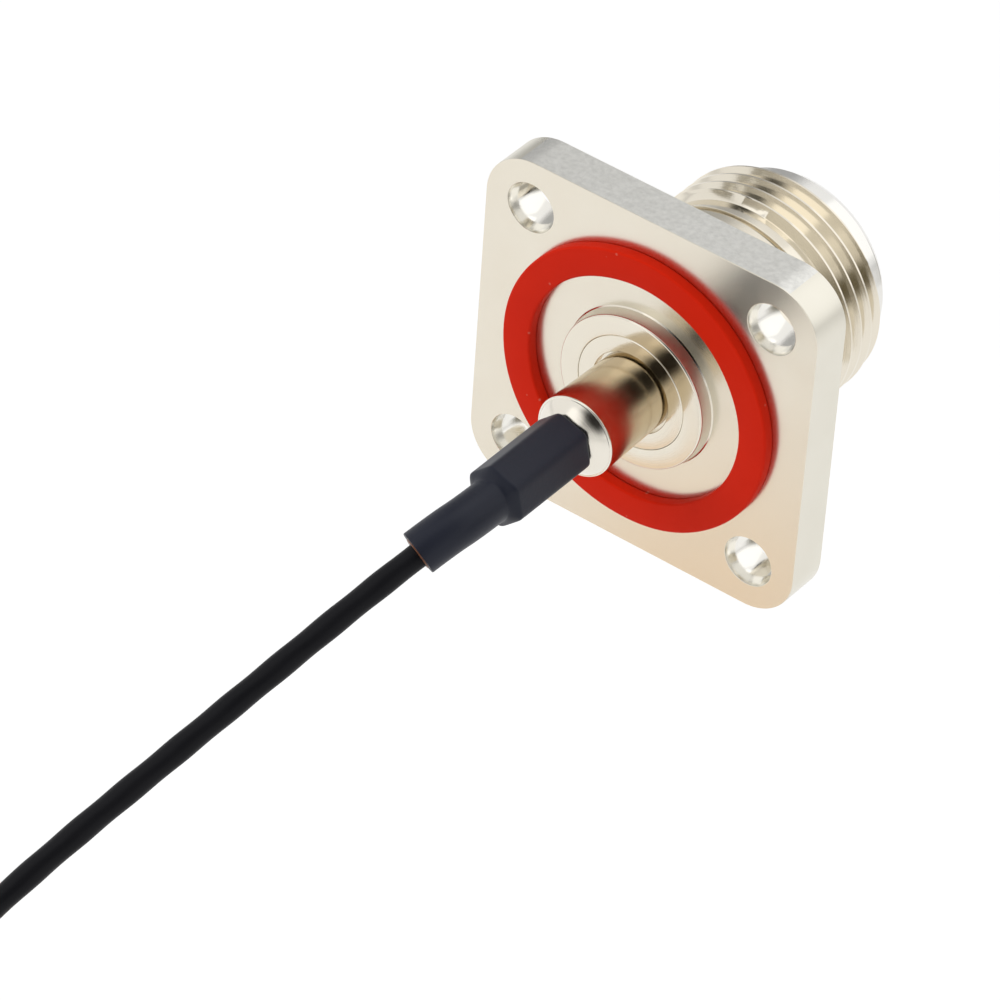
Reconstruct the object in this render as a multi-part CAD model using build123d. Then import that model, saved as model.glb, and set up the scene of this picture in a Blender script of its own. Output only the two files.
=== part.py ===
from build123d import *
import math
import os

# Four-hole panel jack on a short coaxial lead. The mating axis is +Y and up is +Z. The origin
# is the middle of the flange's mounting face, in the plane Y = 0. The lead leaves along -Y
# and hangs down inside the panel, to a small push-on plug.

# Fits
PRESS_GAP = 0.01
WIRE_GAP = 0.005

# Square flange, its four holes and the round boss on its mounting face
FLANGE_SIDE = 25.0
FLANGE_THICK = 3.0
FLANGE_CORNER_R = 3.5
FLANGE_EDGE = 0.12
HOLE_INSET = 3.4
HOLE_DIA = 3.5
HOLE_EDGE = 0.1
BOSS_DIA = 11.0
BOSS_HEIGHT = 1.0
BOSS_EDGE = 0.2

# Coupling barrel in front of the flange, from the flange to the mouth
SHANK_DIA = 14.7
SHANK_LENGTH = 6.5
RELIEF_DIA = 15.0
RELIEF_LENGTH = 1.3
THREAD_DIA = 15.8
THREAD_LENGTH = 4.4
THREAD_END_SLOPE = 0.57
PILOT_DIA = 13.4
PILOT_LENGTH = 1.8
NOSE_TAPER = 0.35
NOSE_LENGTH = 0.5

# Mating cavity and the bore behind it
BORE_DIA = 8.1
BORE_DEPTH = 9.1
MOUTH_CHAMFER = 0.9
LIP_DIA = 6.4
LIP_THICK = 0.5
INSULATOR_DIA = 7.0

# Socket contact in the middle
CONTACT_DIA = 3.04
CONTACT_REACH = 4.9
CONTACT_TIP = 0.25
SOCKET_DIA = 1.66
SOCKET_DEPTH = 5.5
SLOT_WIDTH = 0.3
SLOT_DEPTH = 4.2
NECK_DIA = 1.8
NECK_LENGTH = 1.0
COLLAR_DIA = 2.4
COLLAR_LENGTH = 0.75
CUP_DIA = 1.2
CUP_LENGTH = 4.5
CUP_DEPTH = 1.5

# Rear bushing and the sleeve that it holds
BUSHING_DIA = 8.0
BUSHING_LENGTH = 2.5
BUSHING_EDGE = 0.1
GROOVE_WIDTH = 0.2
GROOVE_DEPTH = 0.35
SLEEVE_DIA = 5.6
SLEEVE_FOOT_DIA = 5.32
SLEEVE_PROUD = 6.72
SLEEVE_CHAMFER = 0.1
SLEEVE_HEAD = 1.0
SLEEVE_BORE_DIA = 4.0
SLEEVE_WALL = 0.82
NIPPLE_DIA = 1.9
NIPPLE_LENGTH = 5.48
NIPPLE_EDGE = 0.12

# Sealing gasket on the mounting face
GASKET_OUTER_DIA = 20.0
GASKET_WIDTH = 2.05
GASKET_THICK = 0.8
GASKET_EDGE = 0.15

# Coaxial lead
CABLE_DIA = 1.6
DIELECTRIC_DIA = 1.0
CONDUCTOR_DIA = 0.3
BRAID_WALL = 0.2
STRIP_BEHIND_NIPPLE = 0.6
DIELECTRIC_FRONT = 3.2
CABLE_ROUTE_AFTER_JACKET_END = [
    (0.0, -16.6, 0.0),
    (-0.65, -19.15, -0.55),
    (-2.7, -23.65, -3.15),
    (-5.65, -31.45, -7.7),
    (-11.4, -46.95, -17.1),
    (-14.4, -55.05, -23.9),
    (-16.65, -61.1, -32.8),
    (-17.95, -64.65, -43.1),
    (-18.5, -66.1, -54.0),
    (-18.6, -66.45, -65.0),
    (-18.6, -66.45, -76.0),
]
ARC_SHARE = 0.45

# Crimped ferrule and the heat-shrink over it
FERRULE_FLATS = 3.25
FERRULE_CORNER_R = 0.3
FERRULE_LENGTH = 7.28
HEX_TURN = 43.0
SHRINK_WALL = 0.3
SHRINK_START_GAP = 0.88
SHRINK_OVERHANG = 0.45
SHRINK_SHOULDER = 0.7
SHRINK_TAIL_DIA = 2.93
SHRINK_TAIL_PAST_BEND = 0.4
LINING_DIA = 2.2

# Push-on plug at the far end, folded from sheet around its insulator
PLUG_FACING = (0.0, -1.0, 0.0)
PLUG_SHEET = 0.2
PLUG_RING_DIA = 2.8
PLUG_RING_DEPTH = 1.3
PLUG_RING_OFFSET = 2.0
PLUG_SLOT = 1.5
PLUG_CRIMP_LENGTH = 1.4
PLUG_CRIMP_SEAM = 0.25
PLUG_STRAP = 1.4
PLUG_INSULATOR_HEIGHT = 0.63
PLUG_TAIL_WIDTH = 1.2
PLUG_CONTACT_DIA = 0.6
PLUG_CONTACT_BORE = 0.3
PLUG_CONTACT_HEIGHT = 0.55
PLUG_BEAM = 0.24

# Stations along the mating axis
SHANK_END = FLANGE_THICK + SHANK_LENGTH
RELIEF_END = SHANK_END + RELIEF_LENGTH
THREAD_END = RELIEF_END + THREAD_LENGTH
MOUTH = THREAD_END + PILOT_LENGTH
REFERENCE = MOUTH - BORE_DEPTH
LIP_BACK = REFERENCE - LIP_THICK
BOSS_FACE = -BOSS_HEIGHT
BUSHING_SEAT = BOSS_FACE + BUSHING_LENGTH
SLEEVE_FRONT = BUSHING_SEAT + SLEEVE_HEAD
SLEEVE_END = -SLEEVE_PROUD
SLEEVE_FLOOR = SLEEVE_END + SLEEVE_WALL
NIPPLE_END = SLEEVE_END - NIPPLE_LENGTH
JACKET_END = NIPPLE_END - STRIP_BEHIND_NIPPLE
CONTACT_SHOULDER = SLEEVE_FRONT + NECK_LENGTH
CONTACT_TIP_END = REFERENCE + CONTACT_REACH
COLLAR_FRONT = SLEEVE_FRONT - PRESS_GAP
COLLAR_BACK = COLLAR_FRONT - COLLAR_LENGTH
CUP_END = COLLAR_BACK - CUP_LENGTH
FERRULE_END = SLEEVE_END - FERRULE_LENGTH
SHRINK_START = SLEEVE_END - SHRINK_START_GAP
SHRINK_HEX_END = FERRULE_END - SHRINK_OVERHANG
SHRINK_TAIL_START = SHRINK_HEX_END - SHRINK_SHOULDER

# Sizes that two features or pieces share
HOLE_SPACING = FLANGE_SIDE - 2 * HOLE_INSET
BRAID_BORE_R = NIPPLE_DIA / 2 + PRESS_GAP
BRAID_OUTER_R = BRAID_BORE_R + BRAID_WALL
NIPPLE_BORE_R = DIELECTRIC_DIA / 2 + PRESS_GAP
LINING_BORE_R = CABLE_DIA / 2 + PRESS_GAP
PLUG_BORE_R = CABLE_DIA / 2 + PRESS_GAP

ROUTE = [Vector(0, JACKET_END, 0)] + [Vector(*p) for p in CABLE_ROUTE_AFTER_JACKET_END]


def turned(*points):
    """Solid turned about the mating axis from (radius, station) points."""
    return revolve(make_face(Polyline(*points, close=True)), Axis.Y)


def hex_prism(flats, corner_r, start, end):
    """Hexagonal rod with rounded corners along the mating axis, from start back to end."""
    outline = RegularPolygon(flats / 2, 6, major_radius=False, rotation=HEX_TURN)
    outline = fillet(outline.vertices(), corner_r)
    return extrude(Plane.XZ.offset(-start) * outline, start - end)


def bend_radii(points):
    """Radius at each inner point, as large as its shorter run allows."""
    radii = []
    for before, here, after in zip(points, points[1:], points[2:]):
        run_in = here - before
        run_out = after - here
        half_turn = math.radians(run_in.get_angle(run_out)) / 2
        shorter = min(run_in.length, run_out.length)
        radii.append(ARC_SHARE * shorter / math.tan(half_turn))
    return radii


ROUTE_RADII = bend_radii(ROUTE)
LEAD_PATH = FilletPolyline(*ROUTE, radius=ROUTE_RADII)


def tail_path(start):
    """Route of the lead inside the heat-shrink, from a station on the axis to the cut end."""
    bend, out = ROUTE[2], ROUTE[3]
    arc_reach = ROUTE_RADII[1] * math.tan(math.radians((bend - ROUTE[1]).get_angle(out - bend)) / 2)
    mouth = bend + (out - bend).normalized() * (arc_reach + SHRINK_TAIL_PAST_BEND)
    return FilletPolyline(Vector(0, start, 0), ROUTE[1], bend, mouth, radius=ROUTE_RADII[:2])


def tube_along(path, radius):
    """Round rod of a radius along a path."""
    return sweep(Plane(path @ 0, z_dir=path % 0) * Circle(radius), path=path)


def make_flange_body():
    """Flange, boss and coupling barrel, turned and milled from one bar."""
    flange = extrude(Plane.XZ * RectangleRounded(FLANGE_SIDE, FLANGE_SIDE, FLANGE_CORNER_R), -FLANGE_THICK)
    by_station = flange.faces().sort_by(Axis.Y)
    flange = chamfer(by_station[0].edges() + by_station[-1].edges(), FLANGE_EDGE)
    thread_r = THREAD_DIA / 2
    thread_rise = (thread_r - RELIEF_DIA / 2) * THREAD_END_SLOPE
    thread_fall = (thread_r - PILOT_DIA / 2) * THREAD_END_SLOPE
    barrel = turned(
        (0, BOSS_FACE),
        (BOSS_DIA / 2 - BOSS_EDGE, BOSS_FACE),
        (BOSS_DIA / 2, BOSS_FACE + BOSS_EDGE),
        (BOSS_DIA / 2, FLANGE_THICK / 2),
        (SHANK_DIA / 2, FLANGE_THICK / 2),
        (SHANK_DIA / 2, SHANK_END),
        (RELIEF_DIA / 2, SHANK_END),
        (RELIEF_DIA / 2, RELIEF_END),
        (thread_r, RELIEF_END + thread_rise),
        (thread_r, THREAD_END - thread_fall),
        (PILOT_DIA / 2, THREAD_END),
        (PILOT_DIA / 2, MOUTH - NOSE_LENGTH),
        (PILOT_DIA / 2 - NOSE_TAPER, MOUTH),
        (0, MOUTH),
    )
    bore = turned(
        (0, MOUTH),
        (BORE_DIA / 2 + MOUTH_CHAMFER, MOUTH),
        (BORE_DIA / 2, MOUTH - MOUTH_CHAMFER),
        (BORE_DIA / 2, REFERENCE),
        (LIP_DIA / 2, REFERENCE),
        (LIP_DIA / 2, LIP_BACK),
        (INSULATOR_DIA / 2, LIP_BACK),
        (INSULATOR_DIA / 2, BUSHING_SEAT),
        (BUSHING_DIA / 2, BUSHING_SEAT),
        (BUSHING_DIA / 2, BOSS_FACE),
        (0, BOSS_FACE),
    )
    hole = turned(
        (0, 0),
        (HOLE_DIA / 2 + HOLE_EDGE, 0),
        (HOLE_DIA / 2, HOLE_EDGE),
        (HOLE_DIA / 2, FLANGE_THICK - HOLE_EDGE),
        (HOLE_DIA / 2 + HOLE_EDGE, FLANGE_THICK),
        (0, FLANGE_THICK),
    )
    holes = Plane.XZ * GridLocations(HOLE_SPACING, HOLE_SPACING, 2, 2)
    cuts = [Pos(*place.position) * hole for place in holes]
    return flange + barrel - bore - cuts


def make_panel_gasket():
    """Flat ring with broken edges on the mounting face, round the boss."""
    outer_r = GASKET_OUTER_DIA / 2
    inner_r = outer_r - GASKET_WIDTH
    return turned(
        (inner_r + GASKET_EDGE, 0),
        (outer_r - GASKET_EDGE, 0),
        (outer_r, -GASKET_EDGE),
        (outer_r, GASKET_EDGE - GASKET_THICK),
        (outer_r - GASKET_EDGE, -GASKET_THICK),
        (inner_r + GASKET_EDGE, -GASKET_THICK),
        (inner_r, GASKET_EDGE - GASKET_THICK),
        (inner_r, -GASKET_EDGE),
    )


def make_front_insulator():
    """Stepped bead that centres the socket contact in the bore."""
    return turned(
        (CONTACT_DIA / 2 + PRESS_GAP, REFERENCE),
        (LIP_DIA / 2 - PRESS_GAP, REFERENCE),
        (LIP_DIA / 2 - PRESS_GAP, LIP_BACK),
        (INSULATOR_DIA / 2 - PRESS_GAP, LIP_BACK),
        (INSULATOR_DIA / 2 - PRESS_GAP, SLEEVE_FRONT),
        (NECK_DIA / 2 + PRESS_GAP, SLEEVE_FRONT),
        (NECK_DIA / 2 + PRESS_GAP, CONTACT_SHOULDER),
        (CONTACT_DIA / 2 + PRESS_GAP, CONTACT_SHOULDER),
    )


def make_centre_contact():
    """Slotted socket in front, neck and collar in the insulator, solder cup behind."""
    socket_floor = CONTACT_TIP_END - SOCKET_DEPTH
    contact = turned(
        (0, socket_floor),
        (SOCKET_DIA / 2, socket_floor),
        (SOCKET_DIA / 2, CONTACT_TIP_END - CONTACT_TIP),
        (SOCKET_DIA / 2 + CONTACT_TIP, CONTACT_TIP_END),
        (CONTACT_DIA / 2 - CONTACT_TIP, CONTACT_TIP_END),
        (CONTACT_DIA / 2, CONTACT_TIP_END - CONTACT_TIP),
        (CONTACT_DIA / 2, CONTACT_SHOULDER),
        (NECK_DIA / 2, CONTACT_SHOULDER),
        (NECK_DIA / 2, COLLAR_FRONT),
        (COLLAR_DIA / 2, COLLAR_FRONT),
        (COLLAR_DIA / 2, COLLAR_BACK),
        (CUP_DIA / 2, COLLAR_BACK),
        (CUP_DIA / 2, CUP_END),
        (CONDUCTOR_DIA / 2 + WIRE_GAP, CUP_END),
        (CONDUCTOR_DIA / 2 + WIRE_GAP, CUP_END + CUP_DEPTH),
        (0, CUP_END + CUP_DEPTH),
    )
    slot_middle = CONTACT_TIP_END - SLOT_DEPTH / 2
    across = Pos(0, slot_middle, 0) * Box(CONTACT_DIA, SLOT_DEPTH, SLOT_WIDTH)
    upright = Pos(0, slot_middle, 0) * Box(SLOT_WIDTH, SLOT_DEPTH, CONTACT_DIA)
    return contact - across - upright


def make_rear_bushing():
    """Ring pressed flush into the boss, with a groove round the sleeve."""
    bore_r = SLEEVE_FOOT_DIA / 2 + PRESS_GAP
    outer_r = BUSHING_DIA / 2 - PRESS_GAP
    return turned(
        (bore_r, BUSHING_SEAT),
        (outer_r, BUSHING_SEAT),
        (outer_r, BOSS_FACE + BUSHING_EDGE),
        (outer_r - BUSHING_EDGE, BOSS_FACE),
        (bore_r + GROOVE_WIDTH, BOSS_FACE),
        (bore_r + GROOVE_WIDTH, BOSS_FACE + GROOVE_DEPTH),
        (bore_r, BOSS_FACE + GROOVE_DEPTH),
    )


def make_rear_sleeve():
    """Tube that widens to its end, with a head behind the insulator and a nipple under the crimp."""
    foot_r = SLEEVE_FOOT_DIA / 2
    end_r = SLEEVE_DIA / 2
    head_r = INSULATOR_DIA / 2 - PRESS_GAP
    nipple_r = NIPPLE_DIA / 2
    return turned(
        (SLEEVE_BORE_DIA / 2, SLEEVE_FRONT),
        (head_r, SLEEVE_FRONT),
        (head_r, BUSHING_SEAT),
        (foot_r, BUSHING_SEAT),
        (foot_r, BOSS_FACE),
        (end_r, SLEEVE_END + SLEEVE_CHAMFER),
        (end_r - SLEEVE_CHAMFER, SLEEVE_END),
        (nipple_r, SLEEVE_END),
        (nipple_r, NIPPLE_END + NIPPLE_EDGE),
        (nipple_r - NIPPLE_EDGE, NIPPLE_END),
        (NIPPLE_BORE_R, NIPPLE_END),
        (NIPPLE_BORE_R, SLEEVE_FLOOR),
        (SLEEVE_BORE_DIA / 2, SLEEVE_FLOOR),
    )


def make_sleeve_insulator():
    """Bead in the sleeve, between the contact's collar and the sleeve's floor."""
    bore_r = CUP_DIA / 2 + PRESS_GAP
    outer_r = SLEEVE_BORE_DIA / 2 - PRESS_GAP
    return turned(
        (bore_r, COLLAR_BACK),
        (outer_r, COLLAR_BACK),
        (outer_r, SLEEVE_FLOOR),
        (bore_r, SLEEVE_FLOOR),
    )


def make_cable_braid():
    """Screen of the lead, opened out over the nipple."""
    flare_start = NIPPLE_END - STRIP_BEHIND_NIPPLE / 2
    flare_r = NIPPLE_DIA / 2 - NIPPLE_EDGE
    clear_of_nipple = 4 * PRESS_GAP
    screen_r = DIELECTRIC_DIA / 2 + PRESS_GAP
    braid_front = SLEEVE_END - BRAID_WALL
    return turned(
        (screen_r, JACKET_END),
        (screen_r, flare_start),
        (flare_r, NIPPLE_END - clear_of_nipple),
        (BRAID_BORE_R, NIPPLE_END + NIPPLE_EDGE),
        (BRAID_BORE_R, braid_front),
        (BRAID_OUTER_R, braid_front),
        (BRAID_OUTER_R, NIPPLE_END),
        (screen_r + BRAID_WALL, JACKET_END),
    )


def make_cable_dielectric():
    """Bare dielectric of the lead, from the jacket's end through the nipple."""
    bore_r = CONDUCTOR_DIA / 2 + WIRE_GAP
    return turned(
        (bore_r, JACKET_END),
        (DIELECTRIC_DIA / 2, JACKET_END),
        (DIELECTRIC_DIA / 2, -DIELECTRIC_FRONT),
        (bore_r, -DIELECTRIC_FRONT),
    )


def make_cable_conductor():
    """Inner conductor, from the jacket's end into the contact's solder cup."""
    front = CUP_END + CUP_DEPTH - WIRE_GAP
    return turned((0, JACKET_END), (CONDUCTOR_DIA / 2, JACKET_END), (CONDUCTOR_DIA / 2, front), (0, front))


def make_crimp_ferrule():
    """Tube crimped to a hexagon over the braid and the nipple."""
    bore_r = BRAID_OUTER_R + PRESS_GAP
    bore = turned((0, SLEEVE_END), (bore_r, SLEEVE_END), (bore_r, FERRULE_END), (0, FERRULE_END))
    return hex_prism(FERRULE_FLATS, FERRULE_CORNER_R, SLEEVE_END, FERRULE_END) - bore


def make_heat_shrink():
    """Shrunk tube: a hexagon over the ferrule, a shoulder, and a tail bent with the lead."""
    hex_flats = FERRULE_FLATS + 2 * SHRINK_WALL
    hex_corner_r = FERRULE_CORNER_R + SHRINK_WALL
    corner_reach = hex_flats / 2 / math.cos(math.pi / 6)
    shoulder = turned(
        (0, SHRINK_START),
        (corner_reach, SHRINK_START),
        (corner_reach, SHRINK_HEX_END),
        (SHRINK_TAIL_DIA / 2, SHRINK_TAIL_START),
        (0, SHRINK_TAIL_START),
    )
    thick = hex_prism(hex_flats, hex_corner_r, SHRINK_START, SHRINK_TAIL_START) & shoulder
    tail = tube_along(tail_path(FERRULE_END), SHRINK_TAIL_DIA / 2)
    ferrule_room = hex_prism(
        FERRULE_FLATS + 2 * PRESS_GAP, FERRULE_CORNER_R + PRESS_GAP, SLEEVE_END, FERRULE_END
    )
    lining_room = tube_along(tail_path(FERRULE_END), LINING_DIA / 2 + PRESS_GAP)
    return thick + tail - ferrule_room - lining_room


def make_shrink_lining():
    """Adhesive lining between the heat-shrink's tail and the lead."""
    path = tail_path(FERRULE_END)
    return tube_along(path, LINING_DIA / 2) - tube_along(path, LINING_BORE_R)


def make_cable():
    """Jacketed lead from the strip behind the nipple to the plug."""
    return tube_along(LEAD_PATH, CABLE_DIA / 2)


PLUG_PLANE = Plane(ROUTE[-1], x_dir=ROUTE[-1] - ROUTE[-2], z_dir=PLUG_FACING)
PLUG_TOP = -PLUG_BORE_R


def upright_rod(radius, bottom, top):
    """Round rod across the plug, on the middle of its ring, from bottom to top."""
    height = top - bottom
    return Pos(PLUG_RING_OFFSET, 0, bottom + height / 2) * Cylinder(radius, height)


def make_plug_shell():
    """Folded outer contact: cap, slotted ring, strap and crimp round the lead."""
    ring_r = PLUG_RING_DIA / 2
    ring_end = PLUG_TOP + PLUG_RING_DEPTH
    cap = upright_rod(ring_r, PLUG_TOP - PLUG_SHEET, PLUG_TOP)
    ring = upright_rod(ring_r, PLUG_TOP, ring_end) - upright_rod(ring_r - PLUG_SHEET, PLUG_TOP, ring_end)
    slot_reach = PLUG_RING_OFFSET / 2
    slot_height = PLUG_TOP + PLUG_RING_DEPTH / 2
    slot = Pos(slot_reach, 0, slot_height) * Box(PLUG_RING_OFFSET, PLUG_SLOT, PLUG_RING_DEPTH)
    strap_length = PLUG_CRIMP_LENGTH + PLUG_RING_OFFSET
    strap_middle = PLUG_RING_OFFSET - strap_length / 2
    strap = Pos(strap_middle, 0, PLUG_TOP - PLUG_SHEET / 2) * Box(strap_length, PLUG_STRAP, PLUG_SHEET)
    crimp_face = Circle(PLUG_BORE_R + PLUG_SHEET)
    crimp = extrude(Plane.YZ.offset(-PLUG_CRIMP_LENGTH) * crimp_face, PLUG_CRIMP_LENGTH)
    lead_room = extrude(Plane.YZ.offset(-PLUG_CRIMP_LENGTH) * Circle(PLUG_BORE_R), PLUG_CRIMP_LENGTH)
    seam = Pos(-PLUG_CRIMP_LENGTH / 2, 0, PLUG_BORE_R) * Box(PLUG_CRIMP_LENGTH, PLUG_CRIMP_SEAM, PLUG_BORE_R)
    return PLUG_PLANE * (cap + (ring - slot) + (strap + crimp - lead_room - seam))


def make_plug_insulator():
    """Disc under the cap, with a tail back to the lead."""
    disc_r = PLUG_RING_DIA / 2 - PLUG_SHEET - PRESS_GAP
    bottom = PLUG_TOP + PRESS_GAP
    disc = upright_rod(disc_r, bottom, bottom + PLUG_INSULATOR_HEIGHT)
    tail_middle = bottom + PLUG_INSULATOR_HEIGHT / 2
    tail = Pos(PLUG_RING_OFFSET / 2, 0, tail_middle)
    tail = tail * Box(PLUG_RING_OFFSET, PLUG_TAIL_WIDTH, PLUG_INSULATOR_HEIGHT)
    return PLUG_PLANE * (disc + tail)


def make_plug_contact():
    """Tiny socket on a beam that starts at the lead's core."""
    bottom = PLUG_TOP + PRESS_GAP + PLUG_INSULATOR_HEIGHT
    socket = upright_rod(PLUG_CONTACT_DIA / 2, bottom, bottom + PLUG_CONTACT_HEIGHT)
    bore = upright_rod(PLUG_CONTACT_BORE / 2, bottom + PLUG_BEAM, bottom + PLUG_CONTACT_HEIGHT)
    beam = Pos(PLUG_RING_OFFSET / 2, 0, bottom + PLUG_BEAM / 2) * Box(PLUG_RING_OFFSET, PLUG_BEAM, PLUG_BEAM)
    return PLUG_PLANE * (socket + beam - bore)


PIECES = {
    "flange_body": make_flange_body,
    "panel_gasket": make_panel_gasket,
    "front_insulator": make_front_insulator,
    "centre_contact": make_centre_contact,
    "rear_bushing": make_rear_bushing,
    "rear_sleeve": make_rear_sleeve,
    "sleeve_insulator": make_sleeve_insulator,
    "crimp_ferrule": make_crimp_ferrule,
    "heat_shrink": make_heat_shrink,
    "shrink_lining": make_shrink_lining,
    "cable": make_cable,
    "cable_braid": make_cable_braid,
    "cable_dielectric": make_cable_dielectric,
    "cable_conductor": make_cable_conductor,
    "plug_shell": make_plug_shell,
    "plug_insulator": make_plug_insulator,
    "plug_contact": make_plug_contact,
}

os.makedirs("parts", exist_ok=True)
for name, make in PIECES.items():
    export_step(make(), f"parts/{name}.step")

lead_area = math.pi * (CABLE_DIA / 2) ** 2
print("lead bend radii", [round(r, 1) for r in ROUTE_RADII])
print("lead length", round(LEAD_PATH.length, 1), "section times length", round(lead_area * LEAD_PATH.length, 1))
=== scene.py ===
# %% [markdown]
# # Panel jack on a thin coaxial lead
# This lesson dresses a CAD model of a square-flange coaxial jack. The solids are already right in
# size and place, so each step either gives a solid its real finish or makes a finer mesh that
# stands in the same place: a barrel with a true helical thread, a shrunk tube, a soft lead.
# The mating axis is +Y, up is +Z, and the flange's mounting face lies in the plane Y = 0.

# %% Load the CAD frame
import bpy
import math
from mathutils import Matrix, Vector


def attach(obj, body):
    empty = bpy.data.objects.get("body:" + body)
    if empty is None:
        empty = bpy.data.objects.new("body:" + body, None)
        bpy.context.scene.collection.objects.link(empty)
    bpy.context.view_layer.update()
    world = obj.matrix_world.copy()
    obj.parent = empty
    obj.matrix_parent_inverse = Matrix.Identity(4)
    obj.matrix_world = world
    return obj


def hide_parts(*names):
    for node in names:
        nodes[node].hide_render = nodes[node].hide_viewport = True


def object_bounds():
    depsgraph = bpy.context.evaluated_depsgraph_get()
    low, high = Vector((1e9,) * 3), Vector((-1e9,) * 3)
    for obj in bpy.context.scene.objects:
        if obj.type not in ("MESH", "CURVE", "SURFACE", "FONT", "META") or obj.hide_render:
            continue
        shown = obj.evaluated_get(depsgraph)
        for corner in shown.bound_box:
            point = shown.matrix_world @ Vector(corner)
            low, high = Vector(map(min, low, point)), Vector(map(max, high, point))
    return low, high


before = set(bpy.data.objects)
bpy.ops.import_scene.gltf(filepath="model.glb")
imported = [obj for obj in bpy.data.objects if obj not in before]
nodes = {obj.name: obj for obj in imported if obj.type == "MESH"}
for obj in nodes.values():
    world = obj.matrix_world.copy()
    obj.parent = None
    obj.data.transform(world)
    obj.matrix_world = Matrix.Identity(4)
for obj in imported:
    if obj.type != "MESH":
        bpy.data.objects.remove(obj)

cad_box = [list(corner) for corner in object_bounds()]
print("CAD nodes:", len(nodes), "box:", cad_box)

# %% [markdown]
# ## Working in millimetres
# The jack is only 25 mm wide, and mesh tools that merge or bevel are easier to steer at a
# comfortable size. So each new piece is modelled with one unit for one millimetre, and is shrunk
# to metres when it is done. The object then sits at the origin with its place in its mesh.

# %% Small helpers for modelling
MM = 0.001
MERGE = 0.0005      # millimetres
SMOOTH_ANGLE = math.radians(32)


def deselect_all():
    bpy.ops.object.select_all(action="DESELECT")


def choose(obj):
    """Makes obj the only selected object and the active one."""
    deselect_all()
    obj.select_set(True)
    bpy.context.view_layer.objects.active = obj


def edit(obj, mode="VERT"):
    """Opens obj alone in edit mode."""
    choose(obj)
    bpy.ops.object.mode_set(mode="EDIT")
    bpy.ops.mesh.select_mode(type=mode)


def leave_edit():
    bpy.ops.object.mode_set(mode="OBJECT")


def pick(obj, kind, test):
    """Selects only the vertices, edges or polygons of obj for which test is true, in edit mode."""
    mode = {"vertices": "VERT", "edges": "EDGE", "polygons": "FACE"}[kind]
    edit(obj, mode)
    bpy.ops.mesh.select_all(action="DESELECT")
    leave_edit()
    for part in getattr(obj.data, kind):
        part.select = test(part)
    bpy.ops.object.mode_set(mode="EDIT")


def apply_modifier(obj, kind, **settings):
    """Adds a modifier with its settings and applies it."""
    choose(obj)
    modifier = obj.modifiers.new(kind.lower(), kind)
    for name, value in settings.items():
        setattr(modifier, name, value)
    bpy.ops.object.modifier_apply(modifier=modifier.name)


def clean(obj):
    """Merges doubles and turns the faces outwards."""
    edit(obj)
    bpy.ops.mesh.select_all(action="SELECT")
    bpy.ops.mesh.remove_doubles(threshold=MERGE)
    bpy.ops.mesh.normals_make_consistent(inside=False)
    leave_edit()


def to_metres(obj):
    """Shrinks a piece made in millimetres to metres and smooths its shading up to an angle."""
    choose(obj)
    obj.scale = (MM, MM, MM)
    bpy.ops.object.transform_apply(location=True, rotation=True, scale=True)
    bpy.ops.object.shade_smooth_by_angle(angle=SMOOTH_ANGLE)


def seat(obj, slot, *replaced):
    """Lets a finished piece ride on the body in place of the CAD nodes that it stands for."""
    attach(obj, "root")
    if replaced:
        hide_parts(*replaced)
    print(obj.name, len(obj.data.polygons), "faces, in place of", ", ".join(replaced) or "nothing")


# %% [markdown]
# ## Camera
# The photograph was taken from behind the flange, right of it and well above it, with a long lens.
# The camera's place and turn were worked out from the flange's corners, holes and rings, so
# the picture's frame fits the solids.

# %% Camera
camera = bpy.data.objects.new("camera", bpy.data.cameras.new("camera"))
bpy.context.scene.collection.objects.link(camera)
camera_place = (0.193789, -0.294084, 0.278804)
camera_right = Vector((0.793851, 0.605515, 0.056136))
camera_up = Vector((-0.419619, 0.478634, 0.771252))
camera_back = Vector((0.440136, -0.635815, 0.634050))
turn = Matrix((camera_right, camera_up, camera_back)).transposed().to_4x4()
camera.matrix_world = Matrix.Translation(camera_place) @ turn
camera.data.sensor_width = 36.0
camera.data.lens = 263.05
camera.data.clip_start = 0.01
bpy.context.scene.camera = camera
print("camera at", [round(v, 3) for v in camera.location])

# %% [markdown]
# ## The lead's line
# The lead is 1.6 mm thick. It leaves the crimp straight, droops a little, runs out of the picture
# and hangs down to its plug. A NURBS spline through a few control points bends as smoothly as
# the real one. Its evaluated points are read back, because the lead's skin and the heat-shrink's
# tail both follow them.

# %% Line of the lead
route_mm = [
    (0.0, -12.8, 0.0),
    (0.0, -16.6, 0.0),
    (-0.65, -19.15, -0.55),
    (-2.7, -23.65, -3.4),
    (-5.65, -31.45, -7.95),
    (-11.4, -46.95, -16.9),
    (-14.4, -55.05, -23.7),
    (-16.65, -61.1, -32.8),
    (-17.95, -64.65, -43.1),
    (-18.5, -66.1, -54.0),
    (-18.6, -66.45, -65.0),
    (-18.6, -66.45, -76.0),
]
line_data = bpy.data.curves.new("lead_line", "CURVE")
line_data.dimensions = "3D"
line_data.resolution_u = 48
spline = line_data.splines.new("NURBS")
spline.points.add(len(route_mm) - 1)
for point, place in zip(spline.points, route_mm):
    point.co = (*place, 1.0)
spline.order_u = 3
spline.use_endpoint_u = True
line = bpy.data.objects.new("lead_line", line_data)
bpy.context.scene.collection.objects.link(line)
bpy.context.view_layer.update()
line_mesh = bpy.data.meshes.new_from_object(line)
lead_line = [v.co.copy() for v in line_mesh.vertices]
bpy.data.meshes.remove(line_mesh)
bpy.data.objects.remove(line)
reach = [0.0]
for before, here in zip(lead_line, lead_line[1:]):
    reach.append(reach[-1] + (here - before).length)
print("lead line:", len(lead_line), "points,", round(reach[-1], 1), "mm")

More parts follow.
